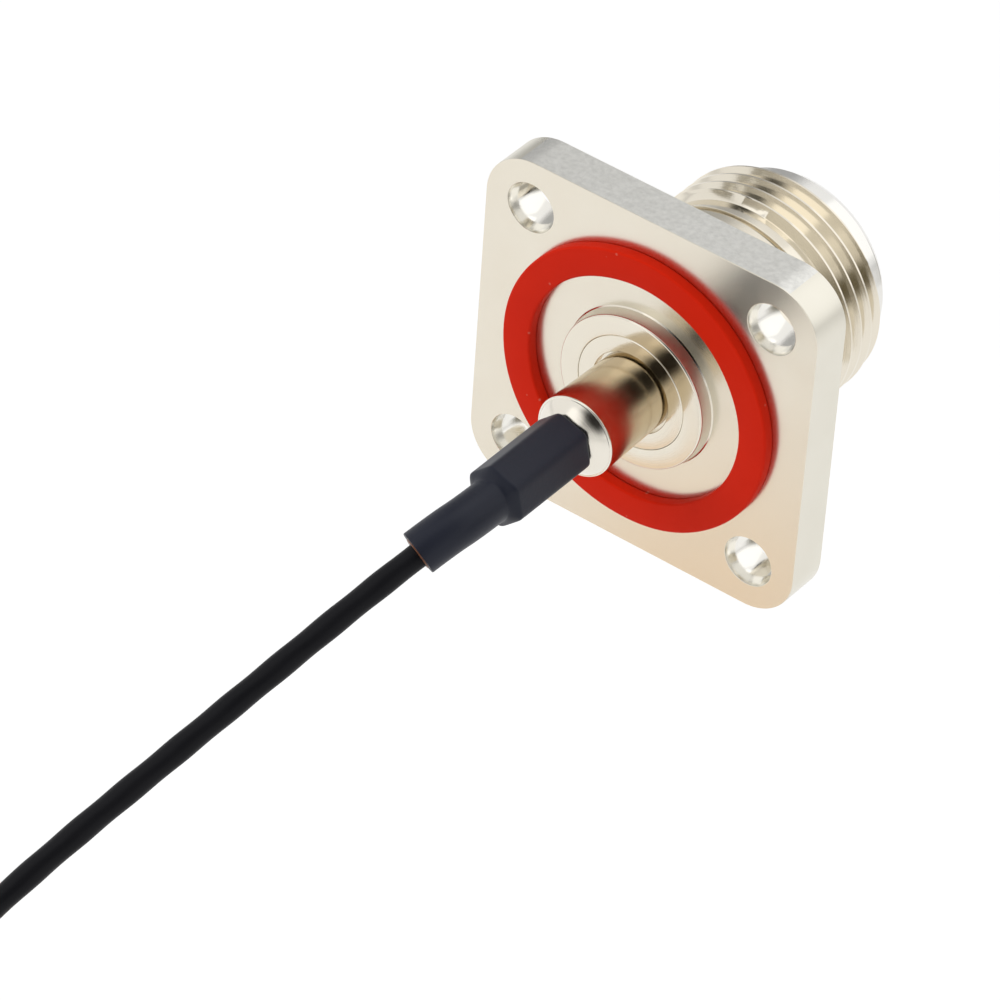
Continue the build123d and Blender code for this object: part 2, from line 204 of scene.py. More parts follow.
# %% [markdown]
# A tube along a bent line needs, at every point, two directions across the line that don't twist
# on their own. They start as X and Z where the line still lies on the mating axis, and each next
# pair is the last pair, turned by as much as the line has turned.

# %% Directions across the line
along = [(b - a).normalized() for a, b in zip(lead_line, lead_line[1:])]
along.append(along[-1])
across = [Vector((1.0, 0.0, 0.0))]
for before, here in zip(along, along[1:]):
    across.append((before.rotation_difference(here) @ across[-1]).normalized())


def station(distance):
    """Point, side and up directions at a distance along the line; before it starts, on the axis."""
    if distance <= 0.0:
        return lead_line[0] + along[0] * distance, across[0], Vector((0.0, 0.0, 1.0))
    i = next((k for k in range(1, len(reach)) if reach[k] >= distance), len(reach) - 1)
    share = (distance - reach[i - 1]) / (reach[i] - reach[i - 1])
    centre = lead_line[i - 1].lerp(lead_line[i], min(share, 1.0))
    side = across[i - 1].lerp(across[i], min(share, 1.0)).normalized()
    return centre, side, along[i].cross(side).normalized()


print("up at the lead's end:", [round(v, 2) for v in station(reach[-1])[2]])

# %% [markdown]
# ## Rolling a grid into a tube
# A flat grid has neat rows both ways. Rolled up along the lead's line, its columns go round and its
# rows go along, and the two long edges are merged. Each tube only has to say how far
# from the line a point lies, for its angle and its place along the tube.

# %% Rolled tubes
def roll_tube(name, around, rows, place):
    """Grid of around by len(rows) points, rolled up; place(angle, row) gives each point."""
    deselect_all()
    bpy.ops.mesh.primitive_grid_add(x_subdivisions=around, y_subdivisions=len(rows) - 1, size=1.0)
    tube = bpy.context.object
    tube.name = tube.data.name = name
    columns = around + 1
    for i, vertex in enumerate(tube.data.vertices):
        angle = 2.0 * math.pi * (i % columns) / around
        vertex.co = place(angle, rows[i // columns])
    return tube


def ring_point(distance, angle, radius):
    centre, side, up = station(distance)
    return centre + (side * math.cos(angle) + up * math.sin(angle)) * radius


def spread(first, last, count):
    """The count values that follow first in even steps, up to last."""
    return [first + (last - first) * k / count for k in range(1, count + 1)]


# %% [markdown]
# ## The lead
# Close up, the jacket isn't quite round: the wires under it are twisted, so its section is a
# little oval and the oval turns once in 7.8 mm. In the picture this shows as a soft
# wave along both edges. The radius is therefore the mean radius plus a two-lobed wave that turns
# with the distance. A face closes the tube at each end.

# %% Lead with its twisted section
LEAD_DIA = 1.6
LEAD_LAY = 7.8
LEAD_OVAL = 0.02
LEAD_ROUNDS_IN = 3.0    # the plug's crimp presses the last millimetres round
lead_end = reach[-1]


def lead_place(angle, distance):
    lobe = math.cos(2.0 * (angle - 2.0 * math.pi * distance / LEAD_LAY))
    oval = LEAD_OVAL * min((lead_end - distance) / LEAD_ROUNDS_IN, 1.0)
    return ring_point(distance, angle, LEAD_DIA / 2 * (1.0 + oval * lobe))


lead = roll_tube("lead_jacket", 28, [0.0] + spread(0.0, lead_end, 520), lead_place)
clean(lead)
for end, within in ((lead_line[0], LEAD_DIA), (lead_line[-1], 0.53 * LEAD_DIA)):
    pick(lead, "vertices", lambda v: (v.co - end).length < within)
    bpy.ops.mesh.edge_face_add()
    leave_edit()
clean(lead)
to_metres(lead)
seat(lead, "black_jacket", "cable")

# %% [markdown]
# ## Heat-shrink over the crimp
# The crimped ferrule under the tube is a hexagon, and the shrunk tube shows it with soft corners.
# Behind the ferrule it steps down over a shoulder and grips the lead. A hexagon with soft
# corners has a simple form: six flat sides pull on each direction, and a high power
# of their pulls, added up, rounds the corners where two sides pull alike. A hand tool crimped
# it, so the tube sits a tenth of a millimetre off the axis.

# %% Form of the crimp
HEX_APOTHEM = 1.925
HEX_FIRST_FLAT = math.radians(13.0)
HEX_SHARPNESS = 16.0
OFF_AXIS = Vector((-0.085, 0.0, 0.06))
LINE_START = lead_line[0].y


def smooth_step(low, high, value):
    t = min(max((value - low) / (high - low), 0.0), 1.0)
    return t * t * (3.0 - 2.0 * t)


def hex_radius(angle, apothem):
    pull = 0.0
    for k in range(6):
        pull += max(0.0, math.cos(angle - HEX_FIRST_FLAT - k * math.pi / 3)) ** HEX_SHARPNESS
    return apothem * pull ** (-1.0 / HEX_SHARPNESS)


def on_line(y):
    """Distance along the lead's line of a station on the mating axis."""
    return LINE_START - y


corner_radius = hex_radius(HEX_FIRST_FLAT + math.pi / 6, HEX_APOTHEM)
print("tube across flats", 2 * HEX_APOTHEM, "mm, across corners", round(2 * corner_radius, 2), "mm")

# %% [markdown]
# The tube's rows run from its rounded front edge over the hexagon, the shoulder and the tail to the
# cut end, and back through the bore and the hexagonal room that the ferrule fills.

# %% Heat-shrink
SHRINK_FRONT = -7.6
CRIMP_BACK = -14.0      # the ferrule ends here and the adhesive starts
SHOULDER_START = -14.4
SHOULDER_END = -15.05
ROOM_APOTHEM = 1.635
TAIL_RADIUS = 1.465
TAIL_BORE = 1.11
TAIL_END = 8.05         # distance along the lead's line
TAIL_EDGE = 0.06        # rounding of the cut end
FRONT_EDGE = [(0.12, 0.0), (0.07, 0.02), (0.03, 0.07), (0.01, 0.15), (0.0, 0.26)]   # inset, step back
hex_start, hex_end = SHRINK_FRONT - 0.3, SHOULDER_START + 0.1
tail_start = on_line(SHOULDER_END - 0.15)
shrink_rows = [(on_line(SHRINK_FRONT) + step, "hex", inset) for inset, step in FRONT_EDGE]
shrink_rows += [(on_line(y), "hex", 0.0) for y in spread(hex_start, hex_end, 24)]
shrink_rows += [(on_line(y), "shoulder", 0.0) for y in spread(hex_end, SHOULDER_END - 0.15, 14)]
shrink_rows += [(distance, "tail", 0.0) for distance in spread(tail_start, TAIL_END - TAIL_EDGE, 30)]
shrink_rows += [(TAIL_END - TAIL_EDGE / 4, "tail", TAIL_EDGE / 4), (TAIL_END, "tail", TAIL_EDGE)]
shrink_rows += [(TAIL_END, "bore", 0.0)]
shrink_rows += [(distance, "bore", 0.0) for distance in spread(TAIL_END, tail_start, 12)]
shrink_rows += [(on_line(CRIMP_BACK), "bore", 0.0), (on_line(CRIMP_BACK), "room", 0.0)]
shrink_rows += [(on_line(SHRINK_FRONT), "room", 0.0), shrink_rows[0]]


def shrink_place(angle, row):
    distance, zone, inset = row
    crimped = hex_radius(angle, HEX_APOTHEM)
    if zone == "hex":
        radius = crimped - inset
    elif zone == "shoulder":
        share = smooth_step(on_line(SHOULDER_START), on_line(SHOULDER_END), distance)
        radius = crimped + (TAIL_RADIUS - crimped) * share
    elif zone == "tail":
        radius = TAIL_RADIUS - inset
    elif zone == "bore":
        radius = TAIL_BORE
    else:
        radius = hex_radius(angle, ROOM_APOTHEM)
    return ring_point(distance, angle, radius) + OFF_AXIS


shrink = roll_tube("heat_shrink_tube", 96, shrink_rows, shrink_place)
clean(shrink)
to_metres(shrink)
seat(shrink, "black_shrink", "heat_shrink")

# %% [markdown]
# The ferrule itself is bare for the first 0.9 mm, where the crimping jaws didn't reach. There it
# flares into a round bell that lies against the sleeve's end, and it turns into the hexagon just
# under the heat-shrink. The bell sits on the axis; the crimped part is off it, so the shift grows
# as the bell narrows.

# %% Crimp ferrule
SLEEVE_END = -6.72
FERRULE_HEX_FRONT = -7.57
FERRULE_APOTHEM = 1.625
FERRULE_BORE = 1.31
BELL = [  # station and radius, from the sleeve's end to the heat-shrink
    (SLEEVE_END, 2.66), (-6.80, 2.60), (-6.92, 2.50), (-7.05, 2.37), (-7.18, 2.20), (-7.30, 2.03),
    (-7.40, 1.87), (-7.48, 1.73), (-7.52, 1.66),
]
BELL_RADIUS, BELL_FOOT = BELL[0][1], BELL[-1][1]
ferrule_rows = BELL + [(FERRULE_HEX_FRONT, "hex")]
ferrule_rows += [(y, "hex") for y in spread(FERRULE_HEX_FRONT, CRIMP_BACK, 16)]
ferrule_rows += [(CRIMP_BACK, FERRULE_BORE), (SLEEVE_END, FERRULE_BORE), BELL[0]]


def ferrule_place(angle, row):
    y, radius = row
    if radius == "hex":
        return ring_point(on_line(y), angle, hex_radius(angle, FERRULE_APOTHEM)) + OFF_AXIS
    shift = min((BELL_RADIUS - radius) / (BELL_RADIUS - BELL_FOOT), 1.0)
    return ring_point(on_line(y), angle, radius) + OFF_AXIS * shift


ferrule = roll_tube("crimped_ferrule", 96, ferrule_rows, ferrule_place)
clean(ferrule)
to_metres(ferrule)
seat(ferrule, "nickel_brass", "crimp_ferrule")

# %% [markdown]
# Inside the tail, melted adhesive fills the space round the lead, and a thin brown edge of it shows
# at the cut end. It has squeezed out by a few hundredths, with a rounded lip. Its outside follows
# the tube and its bore follows the lead, so it is thicker on one side.

# %% Adhesive lining
LINING_RADIUS = 1.1
LINING_BORE = 0.83
LINING_LIP = 0.08
LINING_BACK = on_line(CRIMP_BACK)
lip_middle = (LINING_RADIUS + LINING_BORE) / 2
lip_half = (LINING_RADIUS - LINING_BORE) / 2
lining_rows = [(LINING_BACK, LINING_BORE), (LINING_BACK, LINING_RADIUS)]
lining_rows += [(distance, LINING_RADIUS) for distance in spread(LINING_BACK, TAIL_END, 24)]
for swing in spread(0.0, math.pi, 8):
    lining_rows.append((TAIL_END + LINING_LIP * math.sin(swing), lip_middle + lip_half * math.cos(swing)))
lining_rows += [(distance, LINING_BORE) for distance in spread(TAIL_END, LINING_BACK, 24)]


def lining_place(angle, row):
    distance, radius = row
    shift = (radius - LINING_BORE) / (LINING_RADIUS - LINING_BORE)
    return ring_point(distance, angle, radius) + OFF_AXIS * shift


lining = roll_tube("adhesive_lining", 48, lining_rows, lining_place)
clean(lining)
to_metres(lining)
seat(lining, "amber_adhesive", "shrink_lining")

# %% [markdown]
# ## Turned pieces
# The body, bushing, sleeve and gasket are round about the mating axis. Each is drawn as a half
# section, one vertex extruded from corner to corner, and spun about the axis. A real turned edge
# is never sharp, so a corner may carry a radius, which is drawn as a short arc. In each drawing
# below, a corner is its radius, its station on the axis and its rounding.

# %% Drawing a half section and spinning it
ARC_STEPS = 4


def round_corners(corners, closed):
    """Corners to (radius, station) points, with an arc at each rounded one."""
    points = []
    count = len(corners)
    for i, (r, y, rounding) in enumerate(corners):
        here = Vector((r, y))
        ends = not closed and i in (0, count - 1)
        if rounding == 0.0 or ends:
            points.append(here)
            continue
        back = (Vector(corners[i - 1][:2]) - here).normalized()
        ahead = (Vector(corners[(i + 1) % count][:2]) - here).normalized()
        half = back.angle(ahead) / 2
        run = rounding / math.tan(half)
        centre = here + (back + ahead).normalized() * (rounding / math.sin(half))
        first = here + back * run - centre
        last = here + ahead * run - centre
        for k in range(ARC_STEPS + 1):
            swing = first.lerp(last, k / ARC_STEPS).normalized() * rounding
            points.append(centre + swing)
    return points


def draw_outline(name, start, steps):
    """One vertex at start, extruded by each step in turn; the piece is left in edit mode."""
    deselect_all()
    bpy.ops.mesh.primitive_plane_add(size=1.0)
    piece = bpy.context.object
    piece.name = piece.data.name = name
    edit(piece)
    bpy.ops.mesh.select_all(action="SELECT")
    bpy.ops.mesh.merge(type="CENTER")
    bpy.ops.transform.translate(value=(*start, 0.0))
    for step in steps:
        bpy.ops.mesh.extrude_region_move(TRANSFORM_OT_translate={"value": (*step, 0.0)})
    return piece


def turn_piece(name, corners, around, closed=True):
    """Half section spun about the mating axis; around is the number of faces in a turn."""
    points = round_corners(corners, closed)
    nexts = points[1:] + points[:1] if closed else points[1:]
    piece = draw_outline(name, points[0], [there - here for here, there in zip(points, nexts)])
    bpy.ops.mesh.select_all(action="SELECT")
    bpy.ops.mesh.spin(steps=around, angle=2.0 * math.pi, center=(0, 0, 0), axis=(0, 1, 0))
    leave_edit()
    clean(piece)
    return piece


# %% [markdown]
# ### Gasket
# The red ring is a flat moulded silicone seal, 0.8 mm thick, with soft edges. Being soft, it isn't
# perfectly round, so its rim wanders by a few hundredths.

# %% Gasket
GASKET_BORE, GASKET_RADIUS, GASKET_THICK = 7.95, 10.0, 0.8
RIM_WAVES = [(2, 0.03, 0.6), (5, 0.02, 2.0), (9, 0.01, 0.0)]    # lobes, height and start of each
gasket = turn_piece("red_panel_gasket", [
    (GASKET_BORE, 0.0, 0.1), (GASKET_RADIUS, 0.0, 0.1),
    (GASKET_RADIUS, -GASKET_THICK, 0.15), (GASKET_BORE, -GASKET_THICK, 0.15),
], 192)
for vertex in gasket.data.vertices:
    swing = math.atan2(vertex.co.z, vertex.co.x)
    wander = sum(height * math.sin(lobes * swing + start) for lobes, height, start in RIM_WAVES)
    vertex.co.x += wander * math.cos(swing)
    vertex.co.z += wander * math.sin(swing)
to_metres(gasket)
seat(gasket, "red_silicone", "panel_gasket")

# %% [markdown]
# ### Bushing and sleeve
# A ring is pressed flush into the boss and leaves a fine seam. The polished sleeve stands in it,
# with a narrow groove round its foot, a rounded edge at its end and a thin nipple under the crimp.
# Smooth shading would blend the long side into the rounded edge and bend its reflections, so
# a row of points ends the side just before the edge, and weighted normals let the large faces win.

# %% Bushing and sleeve
BUSHING_FRONT, BOSS_END = 1.5, -1.0
LARGE_FACES_WIN = {"keep_sharp": True, "weight": 60}
bushing = turn_piece("rear_bushing_ring", [
    (2.67, BUSHING_FRONT, 0.0), (3.99, BUSHING_FRONT, 0.0), (3.99, BOSS_END, 0.09),
    (2.87, BOSS_END, 0.05), (2.87, -0.65, 0.0), (2.67, -0.65, 0.0),
], 144)
sleeve = turn_piece("rear_sleeve_tube", [
    (2.0, 2.5, 0.0), (3.49, 2.5, 0.0), (3.49, BUSHING_FRONT, 0.0), (2.66, BUSHING_FRONT, 0.0),
    (2.66, BOSS_END, 0.0), (2.796, -6.55, 0.0), (2.8, SLEEVE_END, 0.1), (0.95, SLEEVE_END, 0.0),
    (0.95, -12.08, 0.0), (0.83, -12.2, 0.0), (0.51, -12.2, 0.0), (0.51, -5.9, 0.0), (2.0, -5.9, 0.0),
], 144)
for piece, replaced in ((bushing, "rear_bushing"), (sleeve, "rear_sleeve")):
    to_metres(piece)
    apply_modifier(piece, "WEIGHTED_NORMAL", **LARGE_FACES_WIN)
    seat(piece, "nickel_brass", replaced)

# %% [markdown]
# ## Body: the flange plate
# The flange is a milled square with round corners. A cube becomes that plate: four upright edges
# are bevelled to the corner radius, four screw holes and a hole for the barrel are cut, and a
# fine bevel breaks every sharp edge, where plating always shines.

# %% Flange plate
PLATE_SIDE = 25.0
PLATE_THICK = 3.0
CORNER_RADIUS = 3.5
HOLE_PLACE = 9.1
HOLE_RADIUS = 1.75
BARREL_HOLE_RADIUS = 5.0
EDGE_BREAK = 0.05
deselect_all()
bpy.ops.mesh.primitive_cube_add(
    size=1.0, location=(0.0, PLATE_THICK / 2, 0.0), scale=(PLATE_SIDE, PLATE_THICK, PLATE_SIDE)
)
body = bpy.context.object
body.name = body.data.name = "flange_body_threaded"
bpy.ops.object.transform_apply(location=True, rotation=True, scale=True)


def runs_along_y(edge):
    a, b = (body.data.vertices[i].co for i in edge.vertices)
    return abs(a.y - b.y) > PLATE_THICK / 2


pick(body, "edges", runs_along_y)
bpy.ops.mesh.bevel(offset=CORNER_RADIUS, segments=24, affect="EDGES")
leave_edit()


def cut_round(x, z, radius):
    deselect_all()
    bpy.ops.mesh.primitive_cylinder_add(
        vertices=72, radius=radius, depth=4 * PLATE_THICK, location=(x, PLATE_THICK / 2, z),
        rotation=(math.pi / 2, 0, 0),
    )
    cutter = bpy.context.object
    apply_modifier(body, "BOOLEAN", operation="DIFFERENCE", object=cutter, solver="EXACT")
    bpy.data.objects.remove(cutter)


for x in (-HOLE_PLACE, HOLE_PLACE):
    for z in (-HOLE_PLACE, HOLE_PLACE):
        cut_round(x, z, HOLE_RADIUS)
cut_round(0.0, 0.0, BARREL_HOLE_RADIUS)
apply_modifier(
    body, "BEVEL", width=EDGE_BREAK, segments=2, limit_method="ANGLE", angle_limit=math.radians(60),
    use_clamp_overlap=False,
)
print("flange plate:", len(body.data.polygons), "faces")

# %% [markdown]
# ## Body: the helical thread
# The coupling thread has 24 turns to the inch on a 5/8 inch barrel. Its tooth has the usual outline:
# flanks 60 degrees apart, a flat crest an eighth of the pitch wide and a root a quarter wide.
# The outline, screwed round the axis and along it by one pitch a turn, gives the whole thread.
# It starts longer than needed and is cut off square at both ends, just short of the plain bands,
# so that a bridge can close the seam.

# %% Thread
PITCH = 25.4 / 24
CREST_RADIUS = 7.9
THREAD_DEPTH = 0.573
THREAD_BACK, THREAD_FRONT = 10.8, 15.2
SEAM = 0.02
AROUND = 160
CREST_AT_X = 11.452    # where a crest crosses the side that faces +X
TOOTH = [  # share of the pitch, share of the depth
    (0.0, 1.0), (0.125, 1.0), (0.4375, 0.0), (0.5, 0.0), (0.5625, 0.0), (0.875, 1.0), (1.0, 1.0),
]
first_root = CREST_AT_X - 2.5 * PITCH
thread = draw_outline("thread", (CREST_RADIUS - THREAD_DEPTH, first_root), [
    ((d0 - d1) * THREAD_DEPTH, (u1 - u0) * PITCH) for (u0, d0), (u1, d1) in zip(TOOTH, TOOTH[1:])
])
leave_edit()
apply_modifier(
    thread, "SCREW", axis="Y", angle=2.0 * math.pi, screw_offset=PITCH, iterations=8, steps=AROUND,
    render_steps=AROUND, use_merge_vertices=True, merge_threshold=MERGE,
)
clean(thread)
for cut, side in ((THREAD_BACK + SEAM, "clear_inner"), (THREAD_FRONT - SEAM, "clear_outer")):
    edit(thread)
    bpy.ops.mesh.select_all(action="SELECT")
    bpy.ops.mesh.bisect(plane_co=(0, cut, 0), plane_no=(0, 1, 0), **{side: True})
    leave_edit()
print("thread:", len(thread.data.polygons), "faces")

# %% [markdown]
# A cutting tool leaves the bar at both ends of a thread, so there the turns run out. The crests are
# held under the barrel's own outline, which slopes at both ends, and the roots meet the plain bands.

# %% Run-out at both ends of the thread
RELIEF_RADIUS, PILOT_RADIUS = 7.33, 6.7
THREAD_END_SLOPE = 0.57
RUN_IN, RUN_OUT = 0.2, 0.6


def outline_radius(y):
    """Radius of the barrel's outline over the thread."""
    rise = RELIEF_RADIUS + (y - THREAD_BACK) / THREAD_END_SLOPE
    fall = PILOT_RADIUS + (THREAD_FRONT - y) / THREAD_END_SLOPE
    return min(CREST_RADIUS, rise, fall)


def cut_share(y):
    """Depth of the cut, as a share of the full depth."""
    at_relief = (CREST_RADIUS - RELIEF_RADIUS) / THREAD_DEPTH
    at_pilot = (CREST_RADIUS - PILOT_RADIUS) / THREAD_DEPTH
    rise = at_relief + (1.0 - at_relief) * smooth_step(THREAD_BACK, THREAD_BACK + RUN_IN, y)
    fall = at_pilot + (1.0 - at_pilot) * (1.0 - smooth_step(THREAD_FRONT - RUN_OUT, THREAD_FRONT, y))
    return min(rise, fall)


for vertex in thread.data.vertices:
    radius = vertex.co.xz.length
    depth = (CREST_RADIUS - radius) * cut_share(vertex.co.y)
    wanted = min(outline_radius(vertex.co.y), CREST_RADIUS - depth)
    vertex.co.x *= wanted / radius
    vertex.co.z *= wanted / radius
print("thread runs from", THREAD_BACK, "to", THREAD_FRONT, "mm")

# %% [markdown]
# ## Body: the barrel
# The barrel's half section runs from behind the thread over the shank, the boss and the stepped
# bore to the mouth and the smooth end band. The plain band narrows towards the thread's root and the
# boss's wall narrows towards its end, and a point close to each end of both keeps their
# reflections straight. The section is left open where the thread belongs, the thread is joined
# in, and bridges close the two seams. The plate is then united with it.

# %% Barrel
BORE_STEP = 7.4
MOUTH = 17.0
barrel = turn_piece("barrel", [
    (RELIEF_RADIUS, 10.78, 0.0), (7.338, 10.72, 0.0), (7.49, 9.66, 0.0), (7.5, 9.58, 0.05),
    (7.25, 9.56, 0.0), (7.25, 9.44, 0.0), (7.35, 9.4, 0.03), (7.35, 1.5, 0.0), (5.6, 1.5, 0.0),
    (5.6, 0.02, 0.0), (5.5, -0.08, 0.0), (5.494, -0.12, 0.0), (5.398, -0.80, 0.0), (5.37, BOSS_END, 0.15),
    (4.0, BOSS_END, 0.06), (4.0, BUSHING_FRONT, 0.0), (3.5, BUSHING_FRONT, 0.0), (3.5, BORE_STEP, 0.0),
    (3.2, BORE_STEP, 0.0), (3.2, 7.9, 0.03), (4.05, 7.9, 0.0), (4.05, 16.1, 0.1), (4.95, MOUTH, 0.08),
    (6.35, MOUTH, 0.08), (PILOT_RADIUS, 16.5, 0.15), (PILOT_RADIUS, 15.22, 0.0),
], AROUND, closed=False)
deselect_all()
thread.select_set(True)
barrel.select_set(True)
bpy.context.view_layer.objects.active = barrel
bpy.ops.object.join()


def faces_at_edges():
    """How many of the barrel's faces meet at each edge; an open edge has one."""
    count = {}
    for polygon in barrel.data.polygons:
        for key in polygon.edge_keys:
            count[key] = count.get(key, 0) + 1
    return count


border = faces_at_edges()
for seam in (THREAD_BACK, THREAD_FRONT):
    def open_here(edge):
        ends = [barrel.data.vertices[i].co.y for i in edge.vertices]
        return border.get(edge.key) == 1 and all(abs(y - seam) < 0.1 for y in ends)
    pick(barrel, "edges", open_here)
    bpy.ops.mesh.bridge_edge_loops()
    leave_edit()
clean(barrel)
open_edges = sum(count != 2 for count in faces_at_edges().values())
print("barrel:", len(barrel.data.polygons), "faces,", open_edges, "open edges")

# %% Plate and barrel as one body
apply_modifier(body, "BOOLEAN", operation="UNION", object=barrel, solver="EXACT")
bpy.data.objects.remove(barrel)
clean(body)
to_metres(body)
apply_modifier(body, "WEIGHTED_NORMAL", **LARGE_FACES_WIN)
seat(body, "nickel_brass", "flange_body")

# %% [markdown]
# ## Contact, insulators and plug
# These small CAD solids already have the right form. Their meshes are loose triangles, so a copy is
# merged and its round faces are shaded smooth; the plug's shell and bead also get a fine bevel on
# their edges.

# %% Smoothed copies of small solids
def smooth_copy(node, name, slot, bevel=0.0):
    choose(nodes[node])
    bpy.ops.object.duplicate()
    copy = bpy.context.object
    for key in [k for k in copy.keys() if k.startswith("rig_")]:
        del copy[key]
    copy.parent = None
    copy.name = copy.data.name = name
    edit(copy)
    bpy.ops.mesh.select_all(action="SELECT")
    bpy.ops.mesh.remove_doubles(threshold=MERGE * MM)
    bpy.ops.mesh.dissolve_limited(angle_limit=math.radians(0.5))
    leave_edit()
    if bevel:
        apply_modifier(
            copy, "BEVEL", width=bevel * MM, segments=2, limit_method="ANGLE", angle_limit=math.radians(50)
        )
    choose(copy)
    bpy.ops.object.shade_smooth_by_angle(angle=SMOOTH_ANGLE)
    seat(copy, slot, node)
    return copy


contact = smooth_copy("centre_contact", "socket_contact", "gold_brass")
front_bead = smooth_copy("front_insulator", "front_bead", "white_fluoropolymer")
plug_shell = smooth_copy("plug_shell", "push_on_plug_shell", "gold_brass", bevel=0.02)
plug_bead = smooth_copy("plug_insulator", "push_on_plug_bead", "white_fluoropolymer", bevel=0.02)
plug_pin = smooth_copy("plug_contact", "push_on_plug_contact", "gold_brass")

# %% [markdown]
# ## The lead's length
# The lead is free: it may be laid another way when the part is used. Its length along its line is
# printed.

# %% Length of the lead
print("cord of", round(reach[-1], 1), "mm")

# %% [markdown]
# ## Materials
# Colours are written as sRGB hex values and turned to linear light by one function. One function
# adds a node with its settings and links. Patterns are laid out in metres on Object coordinates,
# so a scale of 1 / size gives a pattern of that real size.

# %% Colour and node helpers
def linear(hex_colour):
    """sRGB hex colour to linear RGBA."""
    channels = [int(hex_colour[i:i + 2], 16) / 255 for i in (1, 3, 5)]
    return (*[c / 12.92 if c <= 0.04045 else ((c + 0.055) / 1.055) ** 2.4 for c in channels], 1.0)


def add(tree, kind, inputs=None, **settings):
    """Adds a node; inputs holds socket values or the sockets to link from."""
    node = tree.nodes.new(kind)
    for name, value in settings.items():
        setattr(node, name, value)
    for key, value in (inputs or {}).items():
        if isinstance(value, bpy.types.NodeSocket):
            tree.links.new(value, node.inputs[key])
        else:
            node.inputs[key].default_value = value
    return node


def new_material(name):
    """Material with an empty tree, its principled shader and its object coordinates."""
    material = bpy.data.materials.new(name)
    material.use_nodes = True
    tree = material.node_tree
    tree.nodes.clear()
    shader = add(tree, "ShaderNodeBsdfPrincipled")
    add(tree, "ShaderNodeOutputMaterial", {"Surface": shader.outputs["BSDF"]})
    place = add(tree, "ShaderNodeTexCoord").outputs["Object"]
    return material, tree, shader, place


def dress(obj, *materials):
    obj.data.materials.clear()
    for material in materials:
        obj.data.materials.append(material)


# %% [markdown]
# ### Nickel plating
# The brass is nickel plated: a warm, slightly cream metal. Plating copies the surface under it, so
# one recipe serves every face, with its own gloss, cloud and marks: turning marks are rings round
# the axis, and a mill or a drill leaves a grain. Real marks lie a few hundredths apart, too fine
# for the picture, so they are drawn coarser, a tenth of a millimetre and more.

# %% Plating recipe
def plating(name, colours, gloss, cloud, rings, grain, sweep=0.0, patch_mm=4.0):
    """Plated metal: gloss is its roughness, which a cloud of patches varies; rings and grain are each a
    size and a height in millimetres; sweep spreads the shine outwards from the axis."""
    material, tree, shader, place = new_material(name)
    shader.inputs["Metallic"].default_value = 1.0
    if sweep:
        around = add(tree, "ShaderNodeTangent", direction_type="RADIAL", axis="Y")
        tree.links.new(around.outputs["Tangent"], shader.inputs["Tangent"])
        shader.inputs["Anisotropic"].default_value = sweep
        shader.inputs["Anisotropic Rotation"].default_value = 0.25
    patch = add(tree, "ShaderNodeTexNoise", {"Vector": place, "Scale": 1 / (patch_mm * MM), "Detail": 3.0})
    tone = add(tree, "ShaderNodeMix", {
        "Factor": patch.outputs["Fac"], "A": linear(colours[0]), "B": linear(colours[1]),
    }, data_type="RGBA")
    tree.links.new(tone.outputs["Result"], shader.inputs["Base Color"])
    dull = add(tree, "ShaderNodeMapRange", {
        "Value": patch.outputs["Fac"], "From Min": 0.3, "From Max": 0.7,
        "To Min": gloss - cloud, "To Max": gloss + cloud,
    })
    tree.links.new(dull.outputs["Result"], shader.inputs["Roughness"])
    axes = add(tree, "ShaderNodeSeparateXYZ", {"Vector": place})
    flat = add(tree, "ShaderNodeCombineXYZ", {"X": axes.outputs["X"], "Y": axes.outputs["Z"]})
    distance = add(tree, "ShaderNodeVectorMath", {0: flat.outputs["Vector"]}, operation="LENGTH")
    both = add(tree, "ShaderNodeMath", {0: distance.outputs["Value"], 1: axes.outputs["Y"]}, operation="ADD")
    turned = add(tree, "ShaderNodeTexNoise", {
        "W": both.outputs["Value"], "Scale": 1 / (rings[0] * MM), "Detail": 2.0,
    }, noise_dimensions="1D")
    milled = add(tree, "ShaderNodeTexNoise", {"Vector": place, "Scale": 1 / (grain[0] * MM), "Detail": 2.0})
    marks = add(tree, "ShaderNodeBump", {
        "Height": turned.outputs["Fac"], "Strength": 1.0, "Distance": rings[1] * MM,
    })
    rough = add(tree, "ShaderNodeBump", {
        "Height": milled.outputs["Fac"], "Strength": 1.0, "Distance": grain[1] * MM,
        "Normal": marks.outputs["Normal"],
    })
    tree.links.new(rough.outputs["Normal"], shader.inputs["Normal"])
    return material
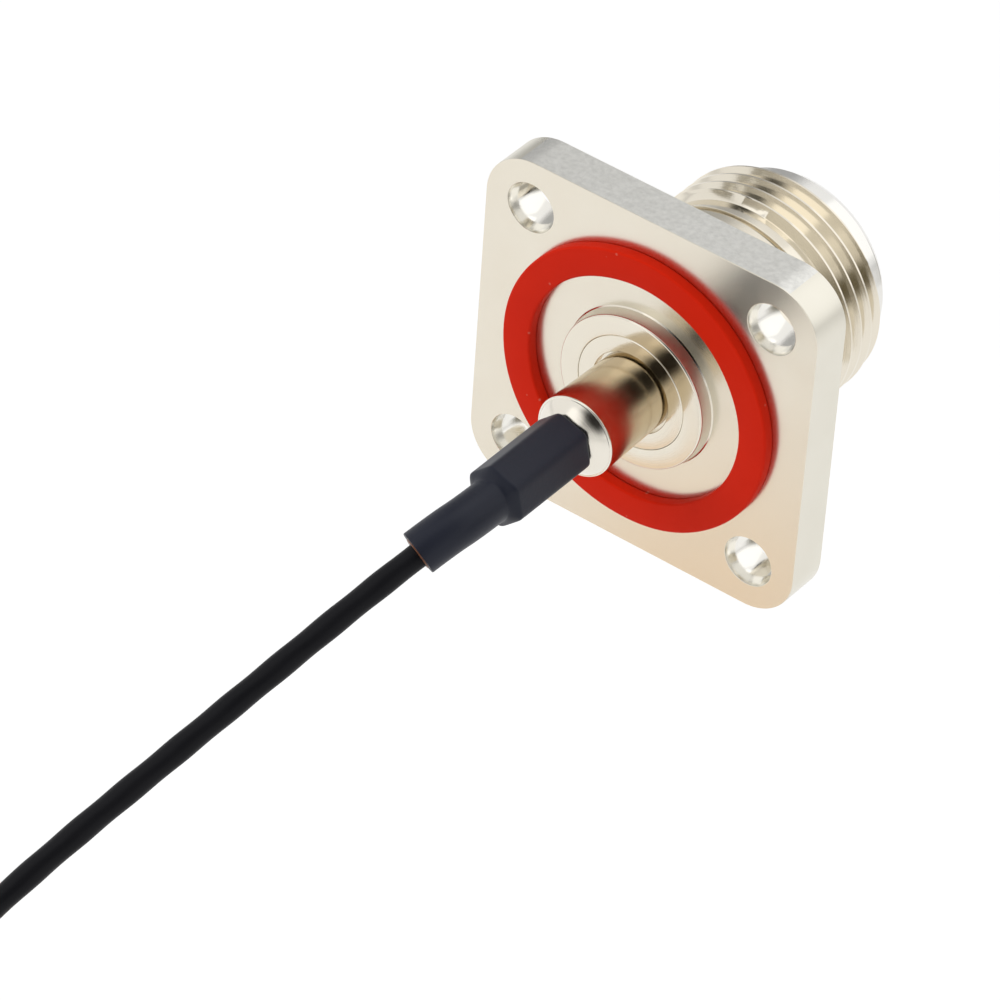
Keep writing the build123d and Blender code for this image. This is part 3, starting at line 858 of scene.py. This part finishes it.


# %% [markdown]
# The flange's face is satin. Its upper and lower edges were left as milled, and their glitter is
# painted glints: light and dark specks in the base colour. Its other sides and the boss's wall are
# ground and soft. The turned barrel mirrors its surround in fine rings. The nose and the holes get
# whiter copies of the nickel, a painted highlight and a painted reflection of the bright surround.
# The sleeve is polished, with a darker copy of the nickel on its side as painted shade, and its
# faced end and the bell of the ferrule spread the shine into a fan.

# %% Nickel finishes
CREAM = ("#E5DFD1", "#E1D9C9")
face_nickel = plating(
    "nickel_plated_milled_face", CREAM, gloss=0.25, cloud=0.02, rings=(0.30, 0.0), grain=(0.5, 0.0006)
)
# Painted glints: the milled edges' glitter is light and dark specks, 0.35 mm wide, in the base colour.
edge_nickel_painted_glints = plating(
    "nickel_plated_milled_edge_painted_glints", ("#F2F1EC", "#C4C3BE"), gloss=0.40, cloud=0.05, rings=(0.4, 0.0),
    grain=(0.16, 0.016), patch_mm=0.35,
)
side_nickel = plating(
    "nickel_plated_ground_side", ("#E3DFD3", "#DFDBCE"), gloss=0.30, cloud=0.03, rings=(0.4, 0.0),
    grain=(0.3, 0.0010),
)
# Painted reflection: the holes get a whiter copy of the nickel, standing in for the bright surround that
# they mirror.
drilled_nickel_painted_reflection = plating(
    "nickel_plated_drilled_painted_reflection", ("#F0EEE8", "#EAE7DF"), gloss=0.16, cloud=0.03, rings=(0.2, 0.0010),
    grain=(0.4, 0.0005),
)
# Painted highlight: the nose gets a whiter copy of the nickel, standing in for the bright surround that it
# mirrors.
nose_nickel_painted_highlight = plating(
    "nickel_plated_turned_painted_highlight", ("#EBEAE6", "#E5E3DE"), gloss=0.14, cloud=0.03, rings=(0.16, 0.0010),
    grain=(0.4, 0.0005),
)
turned_nickel = plating(
    "nickel_plated_turned", CREAM, gloss=0.13, cloud=0.03, rings=(0.16, 0.0015), grain=(0.4, 0.0005)
)
faced_nickel = plating(
    "nickel_plated_faced", ("#EAE5DA", "#E3DDD0"), gloss=0.20, cloud=0.03, rings=(0.10, 0.0040),
    grain=(0.4, 0.0005), sweep=0.3,
)
# Painted shade: the sleeve's side gets a darker, browner copy of the nickel, standing in for the darker
# reflections that it shows.
polished_nickel_painted_shade = plating(
    "nickel_plated_polished_painted_shade", ("#D2C3A8", "#CBBB9E"), gloss=0.17, cloud=0.02, rings=(0.14, 0.0010),
    grain=(0.5, 0.0005),
)
print("nickel finishes made; materials now:", len(bpy.data.materials))

# %% [markdown]
# A finish follows the tool that made the face, so each face of the body is told apart by its place:
# how far it lies from the axis or from a hole, and whether it stands upright on the plate. The nose
# and the holes get whiter copies of the nickel as painted highlight and painted reflection, and the
# milled edges carry painted glints.

# %% Which finish goes where
FACE, EDGE, TURNED, HOLE_PAINTED_REFLECTION, SIDE, NOSE_PAINTED_HIGHLIGHT = range(6)
SIDES_FROM = 11.2       # beyond this from the middle, the plate's sides
NOSE_FROM = 6.0         # outside this radius, before the thread, the nose
WALL_FROM, WALL_END = 5.3, -0.9     # the boss's wall, up to the rounding at its end
BOSS_WITHIN = 5.75
HOLE_WITHIN = 1.85
BARREL_FROM = 3.02      # just before the plate's front face
dress(body, face_nickel, edge_nickel_painted_glints, turned_nickel, drilled_nickel_painted_reflection, side_nickel, nose_nickel_painted_highlight)
for polygon in body.data.polygons:
    points = [body.data.vertices[i].co / MM for i in polygon.vertices]
    upright = abs(polygon.normal.y) < 0.5
    from_hole = [math.hypot(abs(p.x) - HOLE_PLACE, abs(p.z) - HOLE_PLACE) for p in points]
    if upright and all(max(abs(p.x), abs(p.z)) > SIDES_FROM for p in points):
        # the plate's top and bottom edges take the painted glints
        polygon.material_index = EDGE if abs(polygon.normal.z) > 0.95 else SIDE
    # the nose takes the whiter nickel, a painted highlight
    elif all(p.y > THREAD_FRONT and p.xz.length > NOSE_FROM for p in points):
        polygon.material_index = NOSE_PAINTED_HIGHLIGHT
    elif upright and all(WALL_END < p.y < 0.0 and p.xz.length > WALL_FROM for p in points):
        polygon.material_index = SIDE
    elif all(p.y > BARREL_FROM for p in points) or all(p.xz.length < BOSS_WITHIN for p in points):
        polygon.material_index = TURNED
    # the holes' walls take the whiter nickel, a painted reflection
    elif upright and max(from_hole) < HOLE_WITHIN:
        polygon.material_index = HOLE_PAINTED_REFLECTION
    else:
        polygon.material_index = FACE
dress(bushing, turned_nickel)
# the sleeve's side carries the painted shade; its faced end has the lighter faced finish
dress(sleeve, polished_nickel_painted_shade, faced_nickel)
for polygon in sleeve.data.polygons:
    at_end = SLEEVE_END - 0.01 < polygon.center.y / MM < SLEEVE_END + 0.12
    polygon.material_index = int(at_end and polygon.center.xz.length / MM > 1.0)
dress(ferrule, faced_nickel)
print("nickel on body, bushing, sleeve and ferrule")

# %% [markdown]
# ### Silicone
# Moulded silicone rubber is matt and dense in colour, with a faint mottle, and it holds tiny pale
# specks of dust. Its skin is finer than the picture can show and is drawn coarser, at 0.15 mm.

# %% Red silicone
silicone, tree, shader, place = new_material("silicone_moulded_red")
mottle = add(tree, "ShaderNodeTexNoise", {"Vector": place, "Scale": 1 / (2.0 * MM), "Detail": 4.0})
red = add(tree, "ShaderNodeMix", {
    "Factor": mottle.outputs["Fac"], "A": linear("#E22203"), "B": linear("#EA2705"),
}, data_type="RGBA")
speck = add(tree, "ShaderNodeTexVoronoi", {"Vector": place, "Scale": 1 / (1.2 * MM)})
dot = add(tree, "ShaderNodeMapRange", {
    "Value": speck.outputs["Distance"], "From Min": 0.05, "From Max": 0.09, "To Min": 0.35, "To Max": 0.0,
})
dusty = add(tree, "ShaderNodeMix", {
    "Factor": dot.outputs["Result"], "A": red.outputs["Result"], "B": linear("#E8A090"),
}, data_type="RGBA")
tree.links.new(dusty.outputs["Result"], shader.inputs["Base Color"])
shader.inputs["Roughness"].default_value = 0.55
shader.inputs["IOR"].default_value = 1.41
shader.inputs["Specular IOR Level"].default_value = 0.15
skin = add(tree, "ShaderNodeTexNoise", {"Vector": place, "Scale": 1 / (0.15 * MM), "Detail": 2.0})
bump = add(tree, "ShaderNodeBump", {"Height": skin.outputs["Fac"], "Strength": 1.0, "Distance": 0.006 * MM})
tree.links.new(bump.outputs["Normal"], shader.inputs["Normal"])
dress(gasket, silicone)
print("silicone on", gasket.name)

# %% [markdown]
# ### Heat-shrink, jacket and adhesive
# Shrunk polyolefin is a blue-black satin skin, and the lead's extruded jacket is a plainer black.
# The melted adhesive is a glossy brown resin. All three have a cloud in tone and gloss and a soft
# grain, which is drawn coarser than the real one so that it shows.

# %% Polymer skins
def polymer_skin(name, colours, gloss, ior, shine, grain):
    """Skin with a cloud of 3 mm in its tone and gloss, and a grain of a size and height in millimetres."""
    material, tree, shader, place = new_material(name)
    cloud = add(tree, "ShaderNodeTexNoise", {"Vector": place, "Scale": 1 / (3.0 * MM), "Detail": 4.0})
    tone = add(tree, "ShaderNodeMix", {
        "Factor": cloud.outputs["Fac"], "A": linear(colours[0]), "B": linear(colours[1]),
    }, data_type="RGBA")
    tree.links.new(tone.outputs["Result"], shader.inputs["Base Color"])
    dull = add(tree, "ShaderNodeMapRange", {
        "Value": cloud.outputs["Fac"], "To Min": gloss - 0.06, "To Max": gloss + 0.06,
    })
    tree.links.new(dull.outputs["Result"], shader.inputs["Roughness"])
    shader.inputs["IOR"].default_value = ior
    shader.inputs["Specular IOR Level"].default_value = shine
    pits = add(tree, "ShaderNodeTexNoise", {"Vector": place, "Scale": 1 / (grain[0] * MM), "Detail": 3.0})
    bump = add(tree, "ShaderNodeBump", {
        "Height": pits.outputs["Fac"], "Strength": 1.0, "Distance": grain[1] * MM,
    })
    tree.links.new(bump.outputs["Normal"], shader.inputs["Normal"])
    return material


dress(shrink, polymer_skin(
    "polyolefin_shrunk_black", ("#20232E", "#262935"), gloss=0.42, ior=1.49, shine=0.22, grain=(0.25, 0.008)
))
dress(lead, polymer_skin(
    "jacket_extruded_black", ("#151518", "#1B1B1E"), gloss=0.42, ior=1.46, shine=0.12, grain=(0.3, 0.008)
))
dress(lining, polymer_skin(
    "adhesive_melted_brown", ("#5A2E12", "#7A431C"), gloss=0.30, ior=1.50, shine=0.5, grain=(0.4, 0.01)
))
print("skins on heat-shrink, lead and lining")

# %% [markdown]
# ### Inside pieces and plug
# Turned PTFE is waxy white. The contacts and the plug are gold plated, bright and yellow, with the
# same turned marks as the nickel. The braid and the wire are drawn copper with a grey coat of tin.

# %% White, gold and tin
ptfe, tree, shader, place = new_material("ptfe_turned_white")
cloud = add(tree, "ShaderNodeTexNoise", {"Vector": place, "Scale": 1 / (2.0 * MM), "Detail": 3.0})
tone = add(tree, "ShaderNodeMix", {
    "Factor": cloud.outputs["Fac"], "A": linear("#F0EFEA"), "B": linear("#E6E5DF"),
}, data_type="RGBA")
tree.links.new(tone.outputs["Result"], shader.inputs["Base Color"])
shader.inputs["Roughness"].default_value = 0.38
shader.inputs["IOR"].default_value = 1.35
for obj in (front_bead, plug_bead, nodes["sleeve_insulator"], nodes["cable_dielectric"]):
    dress(obj, ptfe)
gold = plating(
    "gold_plated_turned", ("#F0CE86", "#E8C274"), gloss=0.16, cloud=0.03, rings=(0.1, 0.0008),
    grain=(0.3, 0.0005),
)
for obj in (contact, plug_shell, plug_pin):
    dress(obj, gold)
tin = plating(
    "copper_tinned_drawn", ("#D8D6D0", "#CFCCC4"), gloss=0.28, cloud=0.05, rings=(0.12, 0.002),
    grain=(0.1, 0.003),
)
for name in ("cable_braid", "cable_conductor"):
    dress(nodes[name], tin)
print("materials:", len(bpy.data.materials))

# %% [markdown]
# ## Studio
# A product table: a pale floor under the hanging lead and a white surround. Both are shown brighter
# to the camera and in mirrors than they light the jack, so the picture's ground is white and the
# jack's own colours don't wash out. The floor still keeps the jack's shadow.

# %% Floor
WHITE = (1.0, 1.0, 1.0, 1.0)
FLOOR_GAP = 0.002


def shown_rays(tree):
    """1 for rays that show the studio itself: from the camera, off a mirror or through glass."""
    rays = add(tree, "ShaderNodeLightPath").outputs
    shown = add(tree, "ShaderNodeMath", {
        0: rays["Is Camera Ray"], 1: rays["Is Glossy Ray"],
    }, operation="MAXIMUM")
    shown = add(tree, "ShaderNodeMath", {
        0: shown.outputs["Value"], 1: rays["Is Transmission Ray"],
    }, operation="MAXIMUM")
    return shown.outputs["Value"]


deselect_all()
bpy.ops.mesh.primitive_plane_add(size=6.0, location=(0.0, 0.0, cad_box[0][2] - FLOOR_GAP))
floor = bpy.context.object
floor.name = "studio_floor"
bpy.ops.object.transform_apply(location=True, rotation=True, scale=True)
paper, tree, shader, place = new_material("white_paper_floor")
shader.inputs["Base Color"].default_value = linear("#F4F4F4")
shader.inputs["Roughness"].default_value = 0.9
shader.inputs["Specular IOR Level"].default_value = 0.0
lift = add(tree, "ShaderNodeMath", {0: shown_rays(tree), 1: 0.35}, operation="MULTIPLY")
shader.inputs["Emission Color"].default_value = WHITE
tree.links.new(lift.outputs["Value"], shader.inputs["Emission Strength"])
dress(floor, paper)
print("floor at", round(cad_box[0][2] - FLOOR_GAP, 3), "m")

# %% White surround
world = bpy.data.worlds.new("white_surround")
bpy.context.scene.world = world
world.use_nodes = True
tree = world.node_tree
tree.nodes.clear()
strength = add(tree, "ShaderNodeMapRange", {"Value": shown_rays(tree), "To Min": 0.45, "To Max": 1.0})
surround = add(tree, "ShaderNodeBackground", {"Color": WHITE, "Strength": strength.outputs["Result"]})
add(tree, "ShaderNodeOutputWorld", {"Surface": surround.outputs["Background"]})
print("world:", world.name)

# %% [markdown]
# ### Soft panels
# Five square lamps look at the flange. The key and the fill give it form, and are kept out of the
# metal's reflections. The other three are weak, and draw highlights along the edges.

# %% Panels
def panel(name, place, size, watts, mirrored=True):
    """Square soft lamp that looks at the flange."""
    lamp = bpy.data.objects.new(name, bpy.data.lights.new(name, "AREA"))
    bpy.context.scene.collection.objects.link(lamp)
    lamp.data.size = size
    lamp.data.energy = watts
    lamp.location = place
    lamp.rotation_euler = (-Vector(place)).to_track_quat("-Z", "Y").to_euler()
    lamp.visible_glossy = mirrored


panel("key_left", (-0.45, -0.35, 0.55), 0.50, 1.8, mirrored=False)
panel("fill_right", (0.55, 0.10, 0.35), 0.40, 0.6, mirrored=False)
panel("rim_right", (0.43, 0.56, 0.38), 0.70, 0.4)
panel("top", (0.04, 0.23, 0.71), 0.45, 0.4)
panel("behind_left", (-0.20, -0.68, 0.37), 0.50, 0.25)
print("lamps:", len(bpy.data.lights))

# %% [markdown]
# ### Cards
# Metal only looks like metal when it has something dark to mirror as well. A dark card stands
# behind the camera, where a photographer would, and grey ones hang overhead at the back and above
# left. Olive-grey ones at the right and in front give the thread its dark flanks, and a small warm
# one that glows a little tints what the metal mirrors from below.

# %% Cards
SOLID_SHARE = 0.14      # of a card's width, from its middle; from there it fades out


def card(name, place, width, colour, glow=0.0):
    """Matt card with a soft round edge that faces the jack and shows only in what mirrors it."""
    deselect_all()
    bpy.ops.mesh.primitive_plane_add(size=width)
    sheet = bpy.context.object
    sheet.name = sheet.data.name = name
    sheet.rotation_euler = (-Vector(place)).to_track_quat("-Z", "Y").to_euler()
    sheet.location = place
    bpy.ops.object.transform_apply(location=True, rotation=True, scale=True)
    sheet.visible_camera = False
    sheet.visible_shadow = False
    sheet.visible_diffuse = False
    matt, tree, shader, where = new_material(name + "_matt")
    shader.inputs["Base Color"].default_value = linear(colour)
    shader.inputs["Emission Color"].default_value = linear(colour)
    shader.inputs["Emission Strength"].default_value = glow
    shader.inputs["Roughness"].default_value = 1.0
    shader.inputs["Specular IOR Level"].default_value = 0.0
    off = add(tree, "ShaderNodeVectorMath", {0: where, 1: place}, operation="DISTANCE")
    fade = add(tree, "ShaderNodeMapRange", {
        "Value": off.outputs["Value"], "From Min": width * SOLID_SHARE, "From Max": width * 0.5,
        "To Min": 1.0, "To Max": 0.0,
    }, interpolation_type="SMOOTHSTEP")
    tree.links.new(fade.outputs["Result"], shader.inputs["Alpha"])
    dress(sheet, matt)


card("card_behind_camera", tuple(camera_back * 0.75), 1.45, "#16120D")
card("card_overhead_back", (-0.475, 0.458, 0.26), 0.85, "#D6D6D6")
card("card_above_left", (-0.275, 0.10, 0.405), 0.30, "#5A5A58")
card("card_right", (0.465, 0.14, 0.065), 0.34, "#7A7258")
card("card_front_right", (0.10, 0.22, -0.04), 0.19, "#7E775F")
card("card_warm_below", (-0.015, -0.032, -0.052), 0.044, "#F2DCC4", glow=0.42)
print("studio: floor, white surround, five panels and six cards")

# %% [markdown]
# ## Finish
# The picture is shown with the plain Standard view transform.

# %% View settings
bpy.context.scene.view_settings.view_transform = "Standard"
